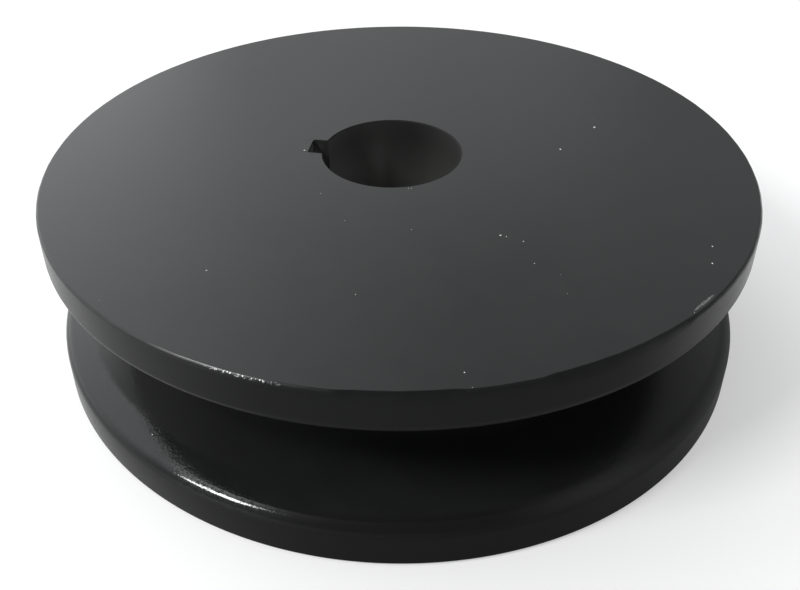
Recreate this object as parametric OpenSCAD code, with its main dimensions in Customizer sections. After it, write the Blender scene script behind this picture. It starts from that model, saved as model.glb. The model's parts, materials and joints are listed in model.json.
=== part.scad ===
// Single-groove belt pulley for an alternator, turned from one piece of metal.
// The back face lies on z = 0, +Z runs along the axis to the outer face, and the keyway points to -X.
// All sizes are in millimetres, and all angles in degrees.

/* [Rim and faces] */
// Diameter over the two flanges
outer_d = 85; // [70:0.5:120]
// Width over the back face and the outer face
width = 22.5; // [20:0.5:40]
// Chamfer round the outer face
outer_chamfer = 0.6; // [0.2:0.1:1.2]
// Chamfer round the back face
back_chamfer = 0.3; // [0.2:0.1:1.2]

/* [Belt groove] */
// Width of the groove at the rim, between the corners that its lips round off
mouth_w = 13; // [10:0.1:16]
// Depth of the groove's floor below the rim
groove_depth = 12; // [8:0.5:14]
// Angle between the groove's two walls
groove_angle = 34; // [30:1:40]
// Radius of the two lips, where the belt runs in over the flanges
lip_r = 1.4; // [0.5:0.1:2.4]
// Radius of the two corners at the groove's floor
root_r = 1; // [0.3:0.1:1.4]

/* [Bore and keyway] */
// Diameter of the bore for the alternator's shaft
bore_d = 17; // [12:0.5:25]
// Chamfer at both ends of the bore
bore_chamfer = 0.15; // [0.1:0.05:1]
// Width of the keyway
key_w = 3.2; // [2:0.1:6]
// Depth of the keyway beyond the bore's wall
key_depth = 1.7; // [1:0.1:3]

/* [Hidden] */
// Sides of a full circle in a preview
$fn = 180;
// How far a cut runs past the face that it opens
cut_over = 1;

rim_r = outer_d / 2;
bore_r = bore_d / 2;
middle_z = width / 2;
wall_slope = groove_angle / 2;
// The wall makes the same blunt corner with the rim and with the floor
corner_angle = 90 + wall_slope;
floor_r = rim_r - groove_depth;
floor_w = mouth_w - 2 * groove_depth * tan(wall_slope);
// Run of each rounding along the two sides of its corner
lip_run = lip_r / tan(corner_angle / 2);
root_run = root_r / tan(corner_angle / 2);

// Corners of the groove's upper half, counted up from its middle
mouth_corner = [rim_r, mouth_w / 2];
floor_corner = [floor_r, floor_w / 2];
// One step along the wall, from the floor to the mouth
wall_step = [cos(wall_slope), sin(wall_slope)];

// Half section of the turned blank, with its four chamfered edges
module blank_section() {
    polygon([
        [bore_r + bore_chamfer, 0],
        [rim_r - back_chamfer, 0],
        [rim_r, back_chamfer],
        [rim_r, width - outer_chamfer],
        [rim_r - outer_chamfer, width],
        [bore_r + bore_chamfer, width],
        [bore_r, width - bore_chamfer],
        [bore_r, bore_chamfer],
    ]);
}

// Upper half of the groove: the floor's corner is an arc, and the lip is an arc that stays on the flange
module half_groove_section() {
    difference() {
        union() {
            polygon([
                [floor_r, 0],
                floor_corner - [0, root_run],
                floor_corner + root_run * wall_step,
                mouth_corner - lip_run * wall_step,
                mouth_corner + [0, lip_run],
                mouth_corner + [cut_over, lip_run],
                [rim_r + cut_over, 0],
            ]);
            translate(floor_corner + [root_r, -root_run])
                circle(root_r);
        }
        translate(mouth_corner + [-lip_r, lip_run])
            circle(lip_r);
    }
}

module groove_section() {
    translate([0, middle_z]) {
        half_groove_section();
        mirror([0, 1])
            half_groove_section();
    }
}

module keyway() {
    translate([-bore_r - key_depth, -key_w / 2, -cut_over])
        cube([bore_r + key_depth, key_w, width + 2 * cut_over]);
}

module pulley() {
    color("#26262a")
        difference() {
            rotate_extrude()
                difference() {
                    blank_section();
                    groove_section();
                }
            keyway();
        }
}

pulley();
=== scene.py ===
# %% [markdown]
# # A painted belt pulley
# A belt drives an alternator, and on the alternator's shaft it runs round a pulley like this one. The
# pulley is turned from one piece of metal: two flanges with a V-shaped groove between them, a bore for
# the shaft and a keyway for the key. The packed model gives the true solid. This notebook gives it the
# skin of the real one: black paint, a hand-filed edge, some dust and a few knocks.

# %% Load the packed model
import json
import math

import bpy
import numpy as np
from mathutils import Matrix, Vector
from mathutils.bvhtree import BVHTree


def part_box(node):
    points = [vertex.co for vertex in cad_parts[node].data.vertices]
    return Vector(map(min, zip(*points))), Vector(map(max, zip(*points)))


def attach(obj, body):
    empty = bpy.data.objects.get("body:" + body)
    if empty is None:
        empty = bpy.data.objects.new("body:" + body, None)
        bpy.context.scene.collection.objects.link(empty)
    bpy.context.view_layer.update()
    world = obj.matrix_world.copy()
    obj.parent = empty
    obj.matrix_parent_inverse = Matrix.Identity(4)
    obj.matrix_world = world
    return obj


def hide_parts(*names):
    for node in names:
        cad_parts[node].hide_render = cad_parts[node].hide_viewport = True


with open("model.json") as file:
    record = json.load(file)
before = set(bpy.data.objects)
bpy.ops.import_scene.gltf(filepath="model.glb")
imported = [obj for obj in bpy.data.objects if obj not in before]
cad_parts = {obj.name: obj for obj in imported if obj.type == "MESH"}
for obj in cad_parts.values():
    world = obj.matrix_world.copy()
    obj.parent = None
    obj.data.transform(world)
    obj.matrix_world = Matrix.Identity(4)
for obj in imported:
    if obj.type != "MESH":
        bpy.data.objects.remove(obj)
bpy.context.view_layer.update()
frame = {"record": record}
low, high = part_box("pulley")
print("packed pulley, in metres:", [round(side, 4) for side in high - low])

# %% [markdown]
# ## Sizes
# A maker reads a pulley from its drawing: the rim, the width, the bore and the shape of the groove. The
# rim, the width and the bore can be measured on the packed model, so they are. The rest are the drawing's
# own numbers. Every size is in millimetres, because nobody draws a pulley in metres, and `MM` turns it
# into Blender's unit.

# %% Sizes of the pulley
MM = 0.001
mounts = {mount["name"]: mount for mount in frame["record"]["mounts"]}
width = high.z / MM
rim_r = (high - low).x / 2 / MM
bore_r = mounts["bore"]["dims"]["r_mm"]
key_w = 3.2
key_depth = 1.7
mouth_w = 13.0
groove_depth = 12.0
wall_slope = math.radians(17)
lip_r = 1.4
root_r = 1.0
outer_chamfer = 0.6
back_chamfer = 0.3
bore_chamfer = 0.15
print(f"rim radius {rim_r:.2f}, width {width:.2f}, bore radius {bore_r:.2f}")

# %% [markdown]
# ## The camera
# The camera comes first, because some small marks are later put where the photograph shows them. It
# stands close, about a hand's width from the pulley, and looks down at a third of a right angle. The
# picture is cut from a larger one, so its middle isn't the middle of the lens, and the camera's shift
# stands for that. The lens is given in pixels, as a measured photograph gives it, and turned into
# Blender's millimetres through the width of the sensor.

# %% Describe the lens
PICTURE = (800, 590)
lens_pixels = 915.42
lens_middle = (344.64, 208.17)
sensor_mm = 36.0

camera_data = bpy.data.cameras.new("camera")
camera_data.sensor_width = sensor_mm
camera_data.lens = lens_pixels / PICTURE[0] * sensor_mm
camera_data.shift_x = (PICTURE[0] / 2 - lens_middle[0]) / PICTURE[0]
camera_data.shift_y = (lens_middle[1] - PICTURE[1] / 2) / PICTURE[0]
camera_data.clip_start = 0.005
shifts = [round(shift, 3) for shift in (camera_data.shift_x, camera_data.shift_y)]
print(f"lens of {camera_data.lens:.1f} mm, shifted by", shifts)

# %% Stand the camera where the photograph was taken
turn = math.radians(12.5)
place_mm = (-6.040, -99.119, 54.287)
look_down = math.radians(32.146)
lean = math.radians(-1.9635)

camera = bpy.data.objects.new("camera", camera_data)
bpy.context.scene.collection.objects.link(camera)
bpy.context.scene.camera = camera
stand = Matrix.Translation((Vector(place_mm) + Vector((0, 0, width))) * MM)
aim = Matrix.Rotation(math.pi / 2 - look_down, 4, "X") @ Matrix.Rotation(lean, 4, "Z")
camera.matrix_world = Matrix.Rotation(turn, 4, "Z") @ stand @ aim
stand_mm = camera.matrix_world.translation / MM
print("camera stands at, in millimetres:", [round(side, 1) for side in stand_mm])

# %% [markdown]
# ## The section
# A turned part is a section spun round an axis, so its shape is settled in a flat drawing of radius and
# height. The corners are listed first, each with the radius of its rounding. A sharp corner would catch
# no light at all. On the real pulley the paint runs a little round over every edge, and that thin
# rounding is what makes an edge show. A bevel modifier could round the edges too, but a rounding drawn
# into the section stays exact all the way round.

# %% Round the corners of a line
def rounded_line(corners, steps):
    """Points along a closed line of (radius, height, rounding), with an arc in place of each corner."""
    points = []
    for index, (r, z, rounding) in enumerate(corners):
        corner = np.array([r, z])
        before = np.array(corners[index - 1][:2]) - corner
        after = np.array(corners[(index + 1) % len(corners)][:2]) - corner
        before /= np.linalg.norm(before)
        after /= np.linalg.norm(after)
        half = math.acos(before @ after) / 2
        inward = (before + after) / np.linalg.norm(before + after)
        centre = corner + inward * rounding / math.sin(half)
        start = corner + before * rounding / math.tan(half) - centre
        end = corner + after * rounding / math.tan(half) - centre
        sweep = math.pi - 2 * half
        for share in np.linspace(0, 1, max(3, round(steps * min(1, rounding))) + 1):
            arc = math.sin((1 - share) * sweep) * start + math.sin(share * sweep) * end
            points.append(centre + arc / math.sin(sweep))
    return points


square = [(0.0, 0.0, 0.1), (1.0, 0.0, 0.1), (1.0, 1.0, 0.1), (0.0, 1.0, 0.1)]
print("a square with rounded corners has", len(rounded_line(square, 7)), "points")

# %% Draw the section
floor_r = rim_r - groove_depth
floor_w = mouth_w - 2 * groove_depth * math.tan(wall_slope)
middle_z = width / 2
paint_r = 0.2
filed_r = 1.2
bore_edge_r = 0.05
arc_steps = 7

upper_half = [
    (bore_r, width - bore_chamfer, bore_edge_r),
    (bore_r + bore_chamfer, width, bore_edge_r),
    (rim_r - outer_chamfer, width, paint_r),
    (rim_r, width - outer_chamfer, filed_r),
    (rim_r, middle_z + mouth_w / 2, lip_r),
    (floor_r, middle_z + floor_w / 2, root_r),
]
lower_half = [
    (floor_r, middle_z - floor_w / 2, root_r),
    (rim_r, middle_z - mouth_w / 2, lip_r),
    (rim_r, back_chamfer, paint_r),
    (rim_r - back_chamfer, 0, paint_r),
    (bore_r + bore_chamfer, 0, bore_edge_r),
    (bore_r, bore_chamfer, bore_edge_r),
]
drawn = rounded_line(upper_half + lower_half, arc_steps)
print(f"groove floor radius {floor_r:.2f}, floor width {floor_w:.2f}, section of {len(drawn)} points")

# %% [markdown]
# Blender shades a mesh softly by blending the directions at its points, and at the end of an arc that
# blend runs out over the flat face beside it. So close to each arc one point stands guard on the flat,
# and the blend stops there. Long straight stretches get some points as well, so that no face of the skin
# is too long for its width.

# %% Fill the straight stretches
def filled_line(points, longest, guard):
    """The closed line again, with guard points beside the arcs and no stretch over the longest."""
    filled = []
    for index, point in enumerate(points):
        filled.append(point)
        stretch = points[(index + 1) % len(points)] - point
        length = np.linalg.norm(stretch)
        if length < 3 * guard:
            continue
        count = max(1, math.ceil((length - 2 * guard) / longest))
        for share in np.linspace(guard, length - guard, count + 1):
            filled.append(point + stretch * share / length)
    return filled


section = filled_line(drawn, longest=4.0, guard=0.12)
print(f"filled section of {len(section)} points")

# %% [markdown]
# ## The bore with its keyway
# The keyway is a square slot along the bore. A key in it keeps the pulley from slipping on the shaft. It
# could be cut with a boolean, but a boolean leaves long thin faces on the flat face, and they show in the
# gloss. Here each ring of the mesh near the bore follows the outline of bore and keyway, and turns into a
# plain circle a few millimetres further out. All faces stay neat quads, and nothing has to be cut.

# %% Trace the bore and the keyway
around = 720
key_corner_r = 0.15
angles = 2 * math.pi * np.arange(around) / around
circle = np.stack([np.cos(angles), np.sin(angles)], axis=1)

key_angle = math.asin(key_w / 2 / bore_r)
key_mouth_x = -bore_r * math.cos(key_angle)
key_floor_x = -bore_r - key_depth
key_path = np.array([
    (key_mouth_x, key_w / 2),
    (key_floor_x + key_corner_r, key_w / 2),
    (key_floor_x, key_w / 2 - key_corner_r),
    (key_floor_x, key_corner_r - key_w / 2),
    (key_floor_x + key_corner_r, -key_w / 2),
    (key_mouth_x, -key_w / 2),
])
key_length = np.concatenate([[0], np.cumsum(np.linalg.norm(np.diff(key_path, axis=0), axis=1))])
key_share = (angles - math.pi + key_angle) / (2 * key_angle)
in_key = (key_share >= 0) & (key_share <= 1)
outline = bore_r * circle
for axis in (0, 1):
    outline[in_key, axis] = np.interp(key_share[in_key] * key_length[-1], key_length, key_path[:, axis])
print(f"keyway is traced by {in_key.sum()} of {around} points")

# %% Find the way out of the outline
tangent = np.roll(outline, -1, axis=0) - np.roll(outline, 1, axis=0)
outward = np.stack([tangent[:, 1], -tangent[:, 0]], axis=1)
outward /= np.linalg.norm(outward, axis=1, keepdims=True)
print("outline reaches out to radius", round(float(np.linalg.norm(outline, axis=1).max()), 2))

# %% [markdown]
# ## The filed edge
# The lathe leaves a sharp edge round the outer face, and a few strokes of a file break it. Nobody files
# evenly, so the break is wide at one place and hardly there at the next, with small steps where a stroke
# began. The list gives the angle round the rim and the break there, as a share of the drawing's chamfer.
# Moving the points of the rings gives real facets, which a bump in the paint could not, because a facet
# changes the outline of the edge too.

# %% Let the filed edge wander
filed_breaks = [
    (0, 0.6), (40, 0.8), (90, 0.5), (140, 0.8), (190, 0.5), (235, 0.4), (252, 0.45), (258, 0.45),
    (272, 0.4), (275, 1.2), (280, 1.4), (286, 1.3), (288, 0.4), (297, 0.35), (298.5, 1.3), (303, 1.3),
    (312, 1.1), (319, 0.8), (320.5, 0.35), (325, 0.3), (326.5, 0.5), (340, 0.45),
]
filed_at, filed_share = zip(*filed_breaks)
filed = np.interp(np.degrees(angles), filed_at, filed_share, period=360)
strokes = 0.06 * np.sin(37 * angles) + 0.05 * np.sin(91 * angles)
filed *= 1 + strokes
filed_in = 0.35 + 0.25 * filed
print(f"filed edge from {outer_chamfer * filed.min():.2f} to {outer_chamfer * filed.max():.2f} high")

# %% [markdown]
# ## The painted pulley
# Each point of the section now becomes a ring of points. Near the bore the ring follows the keyed
# outline, at the outer edge it wanders with the file, and everywhere else it is a circle. The rings
# together are one closed skin, which takes the packed solid's place, because the real pulley is one piece
# as well.

# %% Lay the rings
plain_r = 13.0
key_edge = 0.1
edge_reach = 1.5


def ring(r, z):
    """One closed ring of points at a place of the section."""
    if max(rim_r - r, width - z) < edge_reach:
        flat = (rim_r - (rim_r - r) * filed_in)[:, None] * circle
        return np.column_stack([flat, width - (width - z) * filed])
    grown = np.where(in_key, min(r - bore_r, key_edge), min(r - bore_r, bore_chamfer))
    keyed = outline + outward * grown[:, None]
    share = np.clip((r - bore_r - bore_chamfer) / (plain_r - bore_r - bore_chamfer), 0, 1)
    flat = (1 - share) * keyed + share * r * circle
    return np.column_stack([flat, np.full(around, z)])


points = np.concatenate([ring(r, z) for r, z in section])
rings = len(section)
print(f"{rings} rings of {around} points")

# %% Skin the rings
ring_index, turn_index = np.meshgrid(np.arange(rings), np.arange(around), indexing="ij")
next_ring = (ring_index + 1) % rings
next_turn = (turn_index + 1) % around
quads = np.stack([
    ring_index * around + turn_index,
    next_ring * around + turn_index,
    next_ring * around + next_turn,
    ring_index * around + next_turn,
], axis=-1).reshape(-1, 4)
first, second, third, fourth = (points[column] for column in quads.T)
volume = np.sum(first * (np.cross(second, third) + np.cross(third, fourth))) / 6
print(f"the skin holds {volume / 1000:.2f} cubic centimetres, and more than 0 means that it faces out")

# %% [markdown]
# Every piece of this model is made the same way: points in millimetres, faces, soft shading with sharp
# edges kept, and a note of the body that it rides on. So one helper does it for the pulley here, and
# later for the dust.

# %% Make the piece
sharp_from = math.radians(40)


def mesh_object(name, points_mm, faces):
    """A smooth mesh object from points in millimetres, riding on the pulley's body."""
    mesh = bpy.data.meshes.new(name)
    mesh.from_pydata((np.asarray(points_mm) * MM).tolist(), [], faces)
    mesh.shade_smooth()
    mesh.set_sharp_from_angle(angle=sharp_from)
    made = bpy.data.objects.new(name, mesh)
    bpy.context.scene.collection.objects.link(made)
    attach(made, "root")
    return made


pulley = mesh_object("painted_pulley", points, quads.tolist())
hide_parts("pulley")
print(f"painted pulley: {len(pulley.data.polygons)} faces")

# %% [markdown]
# ## Shader maths
# A finish is built from many small sums: a mask here, a little more roughness there. Wiring each sum by
# hand hides what it says, so a small class wraps a socket and lets the sums be written as sums. Plain
# numbers go through Math nodes, directions through Vector Math and colours through Mix, because a Math
# node would turn a colour grey.

# %% A socket that can be reckoned with
class Wire:
    """One output socket in a node tree, with Math nodes behind the signs + - and *."""

    def __init__(self, tree, socket=None):
        self.tree = tree
        self.socket = socket

    def node(self, kind, settings=None, sockets=None, output=0):
        """Any node: its settings are set first, then the values or links of its sockets."""
        made = self.tree.nodes.new(kind)
        for name, value in (settings or {}).items():
            setattr(made, name, value)
        for key, value in (sockets or {}).items():
            if isinstance(value, Wire):
                self.tree.links.new(value.socket, made.inputs[key])
            else:
                made.inputs[key].default_value = value
        return Wire(self.tree, made.outputs[output] if len(made.outputs) else None)

    def reckon(self, operation, first, second):
        """A Math node on two values."""
        return self.node("ShaderNodeMath", {"operation": operation}, {0: first, 1: second})

    def __add__(self, other):
        return self.reckon("ADD", self, other)

    def __sub__(self, other):
        return self.reckon("SUBTRACT", self, other)

    def __rsub__(self, other):
        return self.reckon("SUBTRACT", other, self)

    def __mul__(self, other):
        return self.reckon("MULTIPLY", self, other)

    __radd__ = __add__
    __rmul__ = __mul__

    def __abs__(self):
        return self.reckon("ABSOLUTE", self, 0)

    def larger(self, other):
        """The larger of two values."""
        return self.reckon("MAXIMUM", self, other)

    def fade(self, start, end):
        """0 before start, 1 after end and smooth between; start may be the larger one."""
        settings = {"interpolation_type": "SMOOTHSTEP"}
        return self.node("ShaderNodeMapRange", settings, {0: self, 1: start, 2: end})

    def blend(self, first, second):
        """A colour that goes from the first to the second as this value goes from 0 to 1."""
        return self.node("ShaderNodeMix", {"data_type": "RGBA"}, {0: self, 6: first, 7: second}, output=2)

    def vector(self, operation, other=(0, 0, 0), output="Vector"):
        """A Vector Math node on this vector and another."""
        return self.node("ShaderNodeVectorMath", {"operation": operation}, {0: self, 1: other}, output)

    def dot(self, direction):
        """How far this vector goes in a direction."""
        return self.vector("DOT_PRODUCT", tuple(direction), "Value")

    def length(self):
        """How long this vector is."""
        return self.vector("LENGTH", output="Value")

    def noise(self, size_mm, detail=2.0):
        """Soft noise with blots of about the given size, on a place in millimetres."""
        sockets = {"Vector": self, "Scale": 1 / size_mm, "Detail": detail}
        return self.node("ShaderNodeTexNoise", {}, sockets)


print("a wire knows", [name for name in vars(Wire) if not name.startswith("_")])

# %% Start a finish
def new_finish(name):
    """A material with an empty node tree, and a wire to start from."""
    finish = bpy.data.materials.new(name)
    finish.use_nodes = True
    finish.node_tree.nodes.clear()
    return finish, Wire(finish.node_tree)


def place_on(wire):
    """The place on the piece, in millimetres."""
    return wire.node("ShaderNodeTexCoord", output="Object").vector("MULTIPLY", (1 / MM, 1 / MM, 1 / MM))


def rgb(red, green, blue):
    """A colour for a socket, with full cover."""
    return (red, green, blue, 1.0)


paint, wire = new_finish("black_paint")
print("started the finish", paint.name)

# %% [markdown]
# ## Black paint: what the spray met
# The pulley was sprayed black as it lay here, mostly from above and from the left, with a second pass
# from behind on the right. Where the spray met the metal squarely, the coat went on wet and dried to a
# satin gloss. The sides that it only brushed dried dull. So one number, how squarely a place faced the
# spray, sets most of the look. It comes from the direction that the surface faces, and that holds from
# every side, unlike a picture laid over the model.

# %% Find what the spray met
turned = Matrix.Rotation(turn, 3, "Z")
left = turned @ Vector((-1, 0, 0))
first_spray = turned @ Vector((-0.6, 0, 0.8))
second_spray = (turned @ Vector((0.75, 0.5, 0.43))).normalized()

facing = wire.node("ShaderNodeNewGeometry", output="Normal")
leftward = facing.dot(left)
squarely = facing.dot(first_spray)
place = place_on(wire)
height = place.dot((0, 0, 1))
upper = height.fade(middle_z, middle_z + mouth_w / 2)
mist = facing.dot(second_spray).fade(-0.3, 0.8).larger(0.06) * upper
wet = squarely.fade(0.07, 0.88).larger(mist)
print("first spray came from", [round(side, 2) for side in first_spray])

# %% [markdown]
# ## Black paint: where it gathered and where it ran out
# Other places are known by where they are on the pulley: by height, by radius and by how far to the left
# they lie. Inside the groove the paint gathered on the left and dried almost like a mirror. A few
# millimetres further in it went on thin and dried dull, and that coat ends in a ragged edge. Two sizes of
# noise added to the radius give the edge, which a plain circle could not.

# %% Find the sides of the pulley
radius = place.vector("MULTIPLY", (1, 1, 0)).length()
from_rim = rim_r - radius
from_face = width - height
leftness = place.dot(left) * (1 / rim_r)
at_left = leftness.fade(0.15, 0.45)
at_right = leftness.fade(-0.15, -0.6)
far_right = leftness.fade(-0.55, -0.98)
in_front = (1 - at_left) * (1 - at_right)
print("masks of the sides:", len(wire.tree.nodes), "nodes")

# %% Find the groove
in_groove = abs(height - middle_z).fade(mouth_w / 2 + lip_r, mouth_w / 2 - 0.2)
deep_in = radius.fade(rim_r - 8, floor_r)
slick = in_groove * at_left
gathered = in_groove * leftward.fade(0.2, 0.8) * (1 - deep_in * 0.35)
blot = place.noise(3.0)
ragged = place.noise(0.7)
edge_r = radius + blot * 0.8 + ragged * 0.4
thin_in = slick * leftness.fade(0.9, 0.7) * edge_r.fade(rim_r - 2.4, rim_r - 3.1)
wet = wet.larger(gathered) * (1 - slick * 0.1 - thin_in * 0.7)
print("with the groove:", len(wire.tree.nodes), "nodes")

# %% [markdown]
# In front and on the right the spray only brushed the groove's lips, and they dried dull. On the left the
# paint drew together along the lip into a bead, and that bead catches the lamp. On the lower rim the paint
# ran down before it dried, so the coat is thin below the lip and glossy at the foot. It is thin over the
# rough facets of the filed edge as well, and the bore got hardly any.

# %% Find the lips
on_lip = in_groove * radius.fade(rim_r - 1.3 * lip_r, rim_r - 0.8 * lip_r)
# the same lip mask also carries the painted reflection: a lighter grey on the lower lip at the right
dry_and_sheen_lip = on_lip * (1 - at_left)
bead = on_lip * leftness.fade(0.26, 0.4) * leftness.fade(0.62, 0.5)
wet = wet * (1 - dry_and_sheen_lip * 0.8)
print("with the lips:", len(wire.tree.nodes), "nodes")

# %% Find the lower rim
low_lip_z = middle_z - mouth_w / 2
on_low_rim = height.fade(low_lip_z + 0.45, low_lip_z - 0.55) * radius.fade(rim_r - 0.5, rim_r - 0.2)
ran_down = height.fade(low_lip_z - 0.15, 0.2)
wet = wet * (1 - on_low_rim * (0.42 - ran_down * 0.45))
print(f"the lower lip starts {low_lip_z:.2f} above the back face")

# %% Find the filed facets and the bore
sloping = facing.dot((0, 0, 1)).fade(0.98, 0.93)
filed_off = (from_rim + from_face).fade(1.0, 0.7) * sloping * in_front
key_floor_r = bore_r + key_depth
upright = facing.vector("MULTIPLY", (1, 1, 0)).length().fade(0.3, 0.6)
in_bore = radius.fade(key_floor_r + 0.1, key_floor_r) * upright
wet = wet * (1 - filed_off * 0.6) * (1 - in_bore)
print("with the facets and the bore:", len(wire.tree.nodes), "nodes")

# %% [markdown]
# ## Black paint: the worn edge
# An edge takes the knocks of the workshop first. At a few places the paint is chipped through and bare
# metal glitters. Each knock is a ball of a few millimetres round a point of the edge, and fine noise
# inside it says where a chip came off. A painted-on mask could do this as well, but it would need a
# picture to be kept with the model.

# %% Find where the edge is worn
knocks = [(261, 4.5), (20, 1.5), (75, 2.5), (131, 1.2)]
near_edge = (from_rim * from_rim + from_face * from_face).fade(0.07, 0.03)
knocked = 0
for degrees, reach in knocks:
    angle = math.radians(degrees)
    spot = (rim_r * math.cos(angle), rim_r * math.sin(angle), width)
    knocked = place.vector("DISTANCE", spot, "Value").fade(reach, reach * 0.5) + knocked
flakes = place.noise(0.2, detail=1.0)
worn = near_edge * knocked * flakes.fade(0.58, 0.64)
print(len(knocks), "knocks on the edge")

# %% [markdown]
# On the right something hard once slid along the edge and left a thin pale scuff. It is a long narrow
# ellipse on the outer face. The way from its middle is measured along it and across it, each in steps of
# its own reach, and where the squares of the two add up to less than 1, the place is inside.

# %% Find the scuff
scuff_angle = math.radians(323.5)
scuff_long = 2.0
scuff_wide = 0.16
scuff_in = 0.65
scuff_out = Vector((math.cos(scuff_angle), math.sin(scuff_angle), 0))
scuff_along = Vector((0, 0, 1)).cross(scuff_out)
scuff_middle = scuff_out * (rim_r - scuff_in) + Vector((0, 0, width))
from_scuff = place.vector("SUBTRACT", tuple(scuff_middle))
lengthwise = from_scuff.dot(scuff_along / scuff_long)
crosswise = from_scuff.dot(scuff_out / scuff_wide)
off_scuff = lengthwise * lengthwise + crosswise * crosswise + from_face * 4
scuffed = off_scuff.fade(1.0, 0.5) * flakes.fade(0.3, 0.5)
print(f"scuff of {2 * scuff_long:.1f} by {2 * scuff_wide:.2f} millimetres")

# %% [markdown]
# ## Black paint: colour
# Black paint isn't one black. Its coat is thicker and thinner in clouds. In the groove some light is
# painted into the colour as a lighter grey: a painted reflection on the lower lip at the right and on the
# groove's far right side, and painted fill light towards the groove's floor, which lies in shade.

# %% Mix the colour of the paint
cloud = place.noise(14.0)
shade = (cloud * 0.6 + blot * 0.4).fade(0.3, 0.7)
dull_black = rgb(0.0125, 0.0127, 0.0130)
satin_black = shade.blend(rgb(0.0100, 0.0104, 0.0108), rgb(0.0130, 0.0134, 0.0136))
colour = wet.blend(dull_black, satin_black)
print("the paint's black:", len(wire.tree.nodes), "nodes")

# %% Grey the groove
thin_black = rgb(0.0185, 0.0187, 0.019)
# painted reflection: the lower lip on the right is painted a lighter grey, and the lower half of the
# groove at the far right lighter still
lip_sheen_grey = (at_right * (1 - upper)).blend(rgb(0.011, 0.011, 0.0115), rgb(0.042, 0.0423, 0.0427))
right_sheen_grey = dry_and_sheen_lip.blend(rgb(0.075, 0.0755, 0.076), rgb(0.095, 0.0955, 0.096))
# painted fill light: the groove is painted lighter towards its floor, most of all on the right, where the
# flanges shade it
floor_fill_grey = at_right.blend(rgb(0.034, 0.0343, 0.0347), rgb(0.065, 0.0655, 0.066))
colour = dry_and_sheen_lip.blend(colour, lip_sheen_grey)
colour = (in_groove * (1 - upper) * far_right).blend(colour, right_sheen_grey)
colour = (thin_in * leftness.fade(0.4, 0.7)).blend(colour, thin_black)
colour = (in_groove * deep_in).blend(colour, floor_fill_grey)
print("with the groove's greys:", len(wire.tree.nodes), "nodes")

# %% [markdown]
# The bore got so little paint that the metal's own grey comes through, most of all on the walls that
# faced away from the spray, which also face away from the light. That grey is partly painted fill light:
# it is painted lighter low down and on the walls turned away from the window, where the bore lies in
# shade.
# The keyway's walls are painted lighter grey from a few millimetres down, partly bare metal cut by a
# broach and partly painted fill light in the shade of the narrow slot. The scuff and the chips show the
# metal last, on top of everything.

# %% Bare the metal
bore_black = rgb(0.022, 0.022, 0.0215)
bore_grey = rgb(0.20, 0.198, 0.192)
key_grey = rgb(0.32, 0.316, 0.308)
scuff_grey = rgb(0.13, 0.13, 0.13)
chip_grey = rgb(0.42, 0.42, 0.42)

# painted fill light in the bore: walls turned away from the spray and the light, and the deeper walls, get
# a lighter grey on top of the real bare metal
missed_and_shaded = squarely.fade(0.5, -0.5)
far_down = from_face.fade(1.5, 9.0)
bare_and_fill_share = missed_and_shaded * missed_and_shaded * 0.45 + leftward.fade(0.3, 0.9) * 0.06
bare_and_fill_share = bare_and_fill_share + far_down * (0.14 + leftward.fade(0.05, -0.25) * 0.65)
# painted fill light in the keyway: its walls turn lighter grey with depth, on top of the metal bared by
# the broach
broached_and_fill = radius.fade(bore_r + 0.4, bore_r + 1.6) + from_face.fade(1.0, 4.0) * 0.4
broached_and_fill = broached_and_fill * radius.fade(bore_r + 0.05, bore_r + 0.3) * from_face.fade(0, 3.5)
# the bore's colour mixes the real bare metal with the painted fill light
bare = broached_and_fill.blend(bare_and_fill_share.blend(bore_black, bore_grey), key_grey)
colour = in_bore.blend(colour, bare)
colour = scuffed.blend(colour, scuff_grey)
colour = worn.blend(colour, chip_grey)
print("with the bare metal:", len(wire.tree.nodes), "nodes")

# %% [markdown]
# ## Black paint: gloss and skin
# Sprayed paint has a skin like an orange, only finer, and under it the marks of the lathe run round the
# pulley. Both are far too fine for the mesh, so they go into a bump of some hundredths of a millimetre.
# The gloss varies with the same clouds as the colour, because a thicker coat dries smoother.

# %% Set the gloss and the skin
grain = place.noise(0.25)
pits = place.noise(0.3, detail=1.0)
peel = place.noise(0.9, detail=1.0)
turned_at = {"W": (radius + height) * 2.5, "Detail": 2.0}
lathe_marks = wire.node("ShaderNodeTexNoise", {"noise_dimensions": "1D"}, turned_at)

uneven = (cloud - 0.5) * 0.06 + (blot - 0.5) * 0.05 + (grain - 0.5) * 0.04
roughness = 0.21 - slick * 0.11 + in_bore * 0.35 + near_edge * 0.2 + uneven
skin = peel * (0.7 + in_groove * 1.5) + lathe_marks * (0.1 + in_groove * 0.5)
skin = skin + grain * (0.32 - wet * 0.2) + pits * (0.05 + in_groove * 1.6 + bead * 1.2)
bump = wire.node("ShaderNodeBump", {}, {"Height": skin, "Strength": 0.25, "Distance": 0.02 * MM})
print("skin laid:", len(wire.tree.nodes), "nodes")

# %% [markdown]
# ## Black paint: two coats in one
# The wet coat is a plain glossy paint. The dry one reflects far less, since its grains stand up and
# swallow the light. A shader's specular level can't vary over a surface in the exported model, so each
# coat gets a shader of its own, and the spray's number mixes the two.

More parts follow.
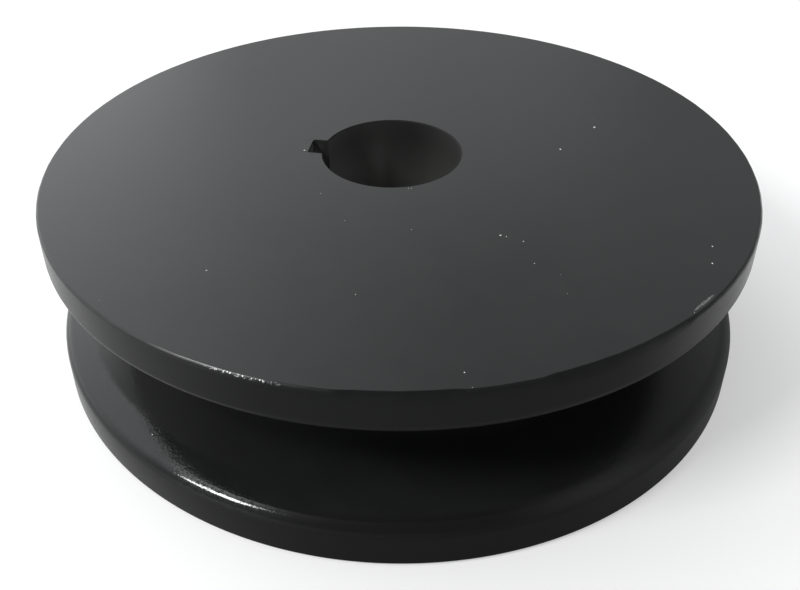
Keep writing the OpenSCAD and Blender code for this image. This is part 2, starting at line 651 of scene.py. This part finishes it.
# %% Put the paint together
satin = wire.node("ShaderNodeBsdfPrincipled", {}, {
    "Base Color": colour,
    "Metallic": worn,
    "Roughness": roughness,
    "Normal": bump,
    "IOR": 1.4,
    "Coat Weight": bead * pits.fade(0.36, 0.56),
    "Coat Roughness": 0.12,
    "Coat IOR": 1.5,
})
dull = wire.node("ShaderNodeBsdfPrincipled", {}, {
    "Base Color": colour,
    "Roughness": roughness + 0.22,
    "Normal": bump,
    "IOR": 1.4,
    "Specular IOR Level": 0.03,
})
coat = wire.node("ShaderNodeMixShader", {}, {0: wet.larger(worn), 1: dull, 2: satin})
wire.node("ShaderNodeOutputMaterial", {}, {"Surface": coat})
pulley.data.materials.append(paint)
print("black paint has", len(paint.node_tree.nodes), "nodes")

# %% [markdown]
# ## Dust in the paint
# A few specks of dust settled while the paint was wet, and each dried in as a tiny pale nib. A speckled
# texture would put them anywhere, but these stand where the photograph shows them: a ray through the
# pixel finds the place on the skin. They are real little domes, half sunk into the paint, so that they
# catch the light from every side.

# %% Find the place on the pulley under a pixel
skin_tree = BVHTree.FromPolygons([Vector(point) for point in points], quads.tolist())
pixel_middle = 0.5


def under_pixel(x, y):
    """The place in millimetres, and the way that the skin faces there, on the ray through a pixel."""
    side = (x + pixel_middle - lens_middle[0]) / lens_pixels
    drop = (y + pixel_middle - lens_middle[1]) / lens_pixels
    way = camera.matrix_world.to_3x3() @ Vector((side, -drop, -1))
    return skin_tree.ray_cast(stand_mm, way)[:2]


print("the lens looks at", [round(side, 1) for side in under_pixel(*lens_middle)[0]])

# %% List the nibs by pixel and radius
nibs = [
    (206, 270, 0.09), (355, 294, 0.055), (500, 235, 0.11), (506, 236, 0.06), (523, 241, 0.065),
    (534, 263, 0.055), (560, 274, 0.03), (567, 293, 0.03), (594, 127, 0.15), (560, 149, 0.125),
    (712, 246, 0.08), (712, 263, 0.085), (464, 372, 0.07), (320, 193, 0.045), (344, 220, 0.047),
    (411, 229, 0.042), (99, 300, 0.032), (304, 150, 0.12), (152, 434, 0.075), (694, 312, 0.03),
    (472, 387, 0.03), (408, 188, 0.04), (411, 188, 0.055),
]
print(len(nibs), "nibs of dust")

# %% Build the domes
dome_rows = 3
dome_columns = 8
dome_height = 0.7
dome_tilt = math.radians(108)
nib_points = []
nib_faces = []
for x, y, nib_r in nibs:
    centre, up = under_pixel(x, y)
    across = up.orthogonal().normalized()
    along = up.cross(across)
    base = len(nib_points)
    nib_points.append(centre + up * nib_r * dome_height)
    for row in range(1, dome_rows + 1):
        tilt = dome_tilt * row / dome_rows
        for column in range(dome_columns):
            swing = 2 * math.pi * column / dome_columns
            out = across * math.cos(swing) + along * math.sin(swing)
            rise = up * dome_height * math.cos(tilt)
            nib_points.append(centre + (out * math.sin(tilt) + rise) * nib_r)
    for column in range(dome_columns):
        beside = (column + 1) % dome_columns
        nib_faces.append((base, base + 1 + column, base + 1 + beside))
        for row in range(dome_rows - 1):
            this_row = base + 1 + row * dome_columns
            next_row = this_row + dome_columns
            nib_faces.append((this_row + column, next_row + column, next_row + beside, this_row + beside))
    last = len(nib_points) - 1
    nib_faces.append(tuple(range(last, last - dome_columns, -1)))
dust = mesh_object("dust_nibs", nib_points, nib_faces)
print("dust nibs:", len(dust.data.polygons), "faces")

# %% [markdown]
# Dust is pale and rough, and no two grains are quite the same grey.

# %% Mix the dust
dusty, wire = new_finish("pale_dust")
dust_colour = place_on(wire).noise(0.15).blend(rgb(0.60, 0.59, 0.57), rgb(0.85, 0.84, 0.82))
dust_coat = wire.node("ShaderNodeBsdfPrincipled", {}, {"Base Color": dust_colour, "Roughness": 0.6})
wire.node("ShaderNodeOutputMaterial", {}, {"Surface": dust_coat})
dust.data.materials.append(dusty)
print("pale dust has", len(dusty.node_tree.nodes), "nodes")

# %% [markdown]
# ## The floor
# The pulley lies on a plain pale floor, wide enough to fill the view from any side. It lies a hair below
# the back face, because two faces at the same height would flicker. Seen by the camera, and in the gloss,
# the floor is lifted towards white and its shadow stays soft. The light that it throws back at the pulley
# stays that of a plain floor.

# %% Lay the floor
floor_side = 6.0
floor_z = -0.02 * MM
corners = [(-1, -1), (1, -1), (1, 1), (-1, 1)]
floor_points = [(x * floor_side / 2, y * floor_side / 2, floor_z) for x, y in corners]
floor_mesh = bpy.data.meshes.new("floor")
floor_mesh.from_pydata(floor_points, [], [(0, 1, 2, 3)])
floor = bpy.data.objects.new("floor", floor_mesh)
bpy.context.scene.collection.objects.link(floor)
print(f"floor of {floor_side} by {floor_side} metres")

# %% Finish the floor
floor_lift = 0.45
pale, wire = new_finish("pale_floor")
camera_ray = wire.node("ShaderNodeLightPath", output="Is Camera Ray")
glossy_ray = wire.node("ShaderNodeLightPath", output="Is Glossy Ray")
glass_ray = wire.node("ShaderNodeLightPath", output="Is Transmission Ray")
seen = camera_ray.larger(glossy_ray).larger(glass_ray)
floor_colour = seen.blend(rgb(0.8, 0.8, 0.8), rgb(1.0, 1.0, 1.0))
lit = wire.node("ShaderNodeBsdfDiffuse", {}, {"Color": floor_colour})
white = wire.node("ShaderNodeEmission", {}, {"Color": rgb(1.0, 1.0, 1.0), "Strength": 1.0})
lifted = wire.node("ShaderNodeMixShader", {}, {0: seen * floor_lift, 1: lit, 2: white})
wire.node("ShaderNodeOutputMaterial", {}, {"Surface": lifted})
floor_mesh.materials.append(pale)
print("pale floor has", len(pale.node_tree.nodes), "nodes")

# %% [markdown]
# ## The room
# Black paint has hardly any colour of its own: what one sees is the room in it. So the world is a soft
# room rather than an even grey. It is brightest on the left, like a wall with a window, dimmer to the
# right, darker low at the back with one lighter opening, and dark behind the camera. A photographed room
# could be loaded for this, but a few smooth sums need no file and can be tuned one by one.

# %% Find the ways in the room
away = turned @ Vector((0, 1, 0))
opening = (turned @ Vector((0.115, 0.905, 0.405))).normalized()
room = bpy.data.worlds.new("room")
room.use_nodes = True
room.node_tree.nodes.clear()
bpy.context.scene.world = room
wire = Wire(room.node_tree)
way = wire.node("ShaderNodeTexCoord", output="Generated")
to_left = way.dot(left)
to_back = way.dot(away)
to_top = way.dot((0, 0, 1))
print("the window is towards", [round(side, 2) for side in left])

# %% Paint the room with light
window = to_left.fade(-0.16, 0.42) * 1.48 - to_left.fade(0.6, 1.0) * 0.5
glow = 0.67 + window - to_left.fade(-0.38, -0.65) * 0.3
low_back = to_top.fade(0.48, 0.37) * to_back.fade(0.6, 0.8) * (1 - to_left.fade(0.08, 0.25) * 0.8)
glow = glow * (1 - low_back * 0.46) + way.dot(opening).fade(0.97, 1.0) * 0.3
front_glow = 0.06 + to_left.fade(0.2, 0.7) * 0.4 + to_left.fade(-0.25, -0.7) * 0.45
front = to_back.fade(0.3, -0.5)
glow = glow * (1 - front) + front_glow * front
sky = wire.node("ShaderNodeBackground", {}, {"Color": rgb(0.985, 1.0, 1.015), "Strength": glow})
wire.node("ShaderNodeOutputWorld", {}, {"Surface": sky})
print("the room has", len(room.node_tree.nodes), "nodes")

# %% [markdown]
# ## The lamp
# One long soft lamp hangs in front on the left. It is what draws the bright streak along the lower lip of
# the groove. Its strength is given as the brightness of its surface, so that it can be compared with the
# room's.

# %% Hang the lamp
lamp_way = (turned @ Vector((-0.63, -0.33, 0.70))).normalized()
lamp_far = 0.7
lamp_wide = 0.21
lamp_high = 0.17
lamp_brightness = 26.0

lamp_data = bpy.data.lights.new("strip_lamp", "AREA")
lamp_data.shape = "RECTANGLE"
lamp_data.size = lamp_wide
lamp_data.size_y = lamp_high
lamp_data.energy = lamp_brightness * math.pi * lamp_wide * lamp_high
lamp = bpy.data.objects.new("strip_lamp", lamp_data)
bpy.context.scene.collection.objects.link(lamp)
lamp.location = lamp_way * lamp_far
lamp.rotation_mode = "QUATERNION"
lamp.rotation_quaternion = lamp_way.to_track_quat("Z", "Y")
print(f"strip lamp of {lamp_data.energy:.2f} watts")

# %% [markdown]
# ## The view of colours
# The plain view of colours shows each colour as it is written.

# %% Choose the plain view of colours
bpy.context.scene.view_settings.view_transform = "Standard"
print("view of colours:", bpy.context.scene.view_settings.view_transform)
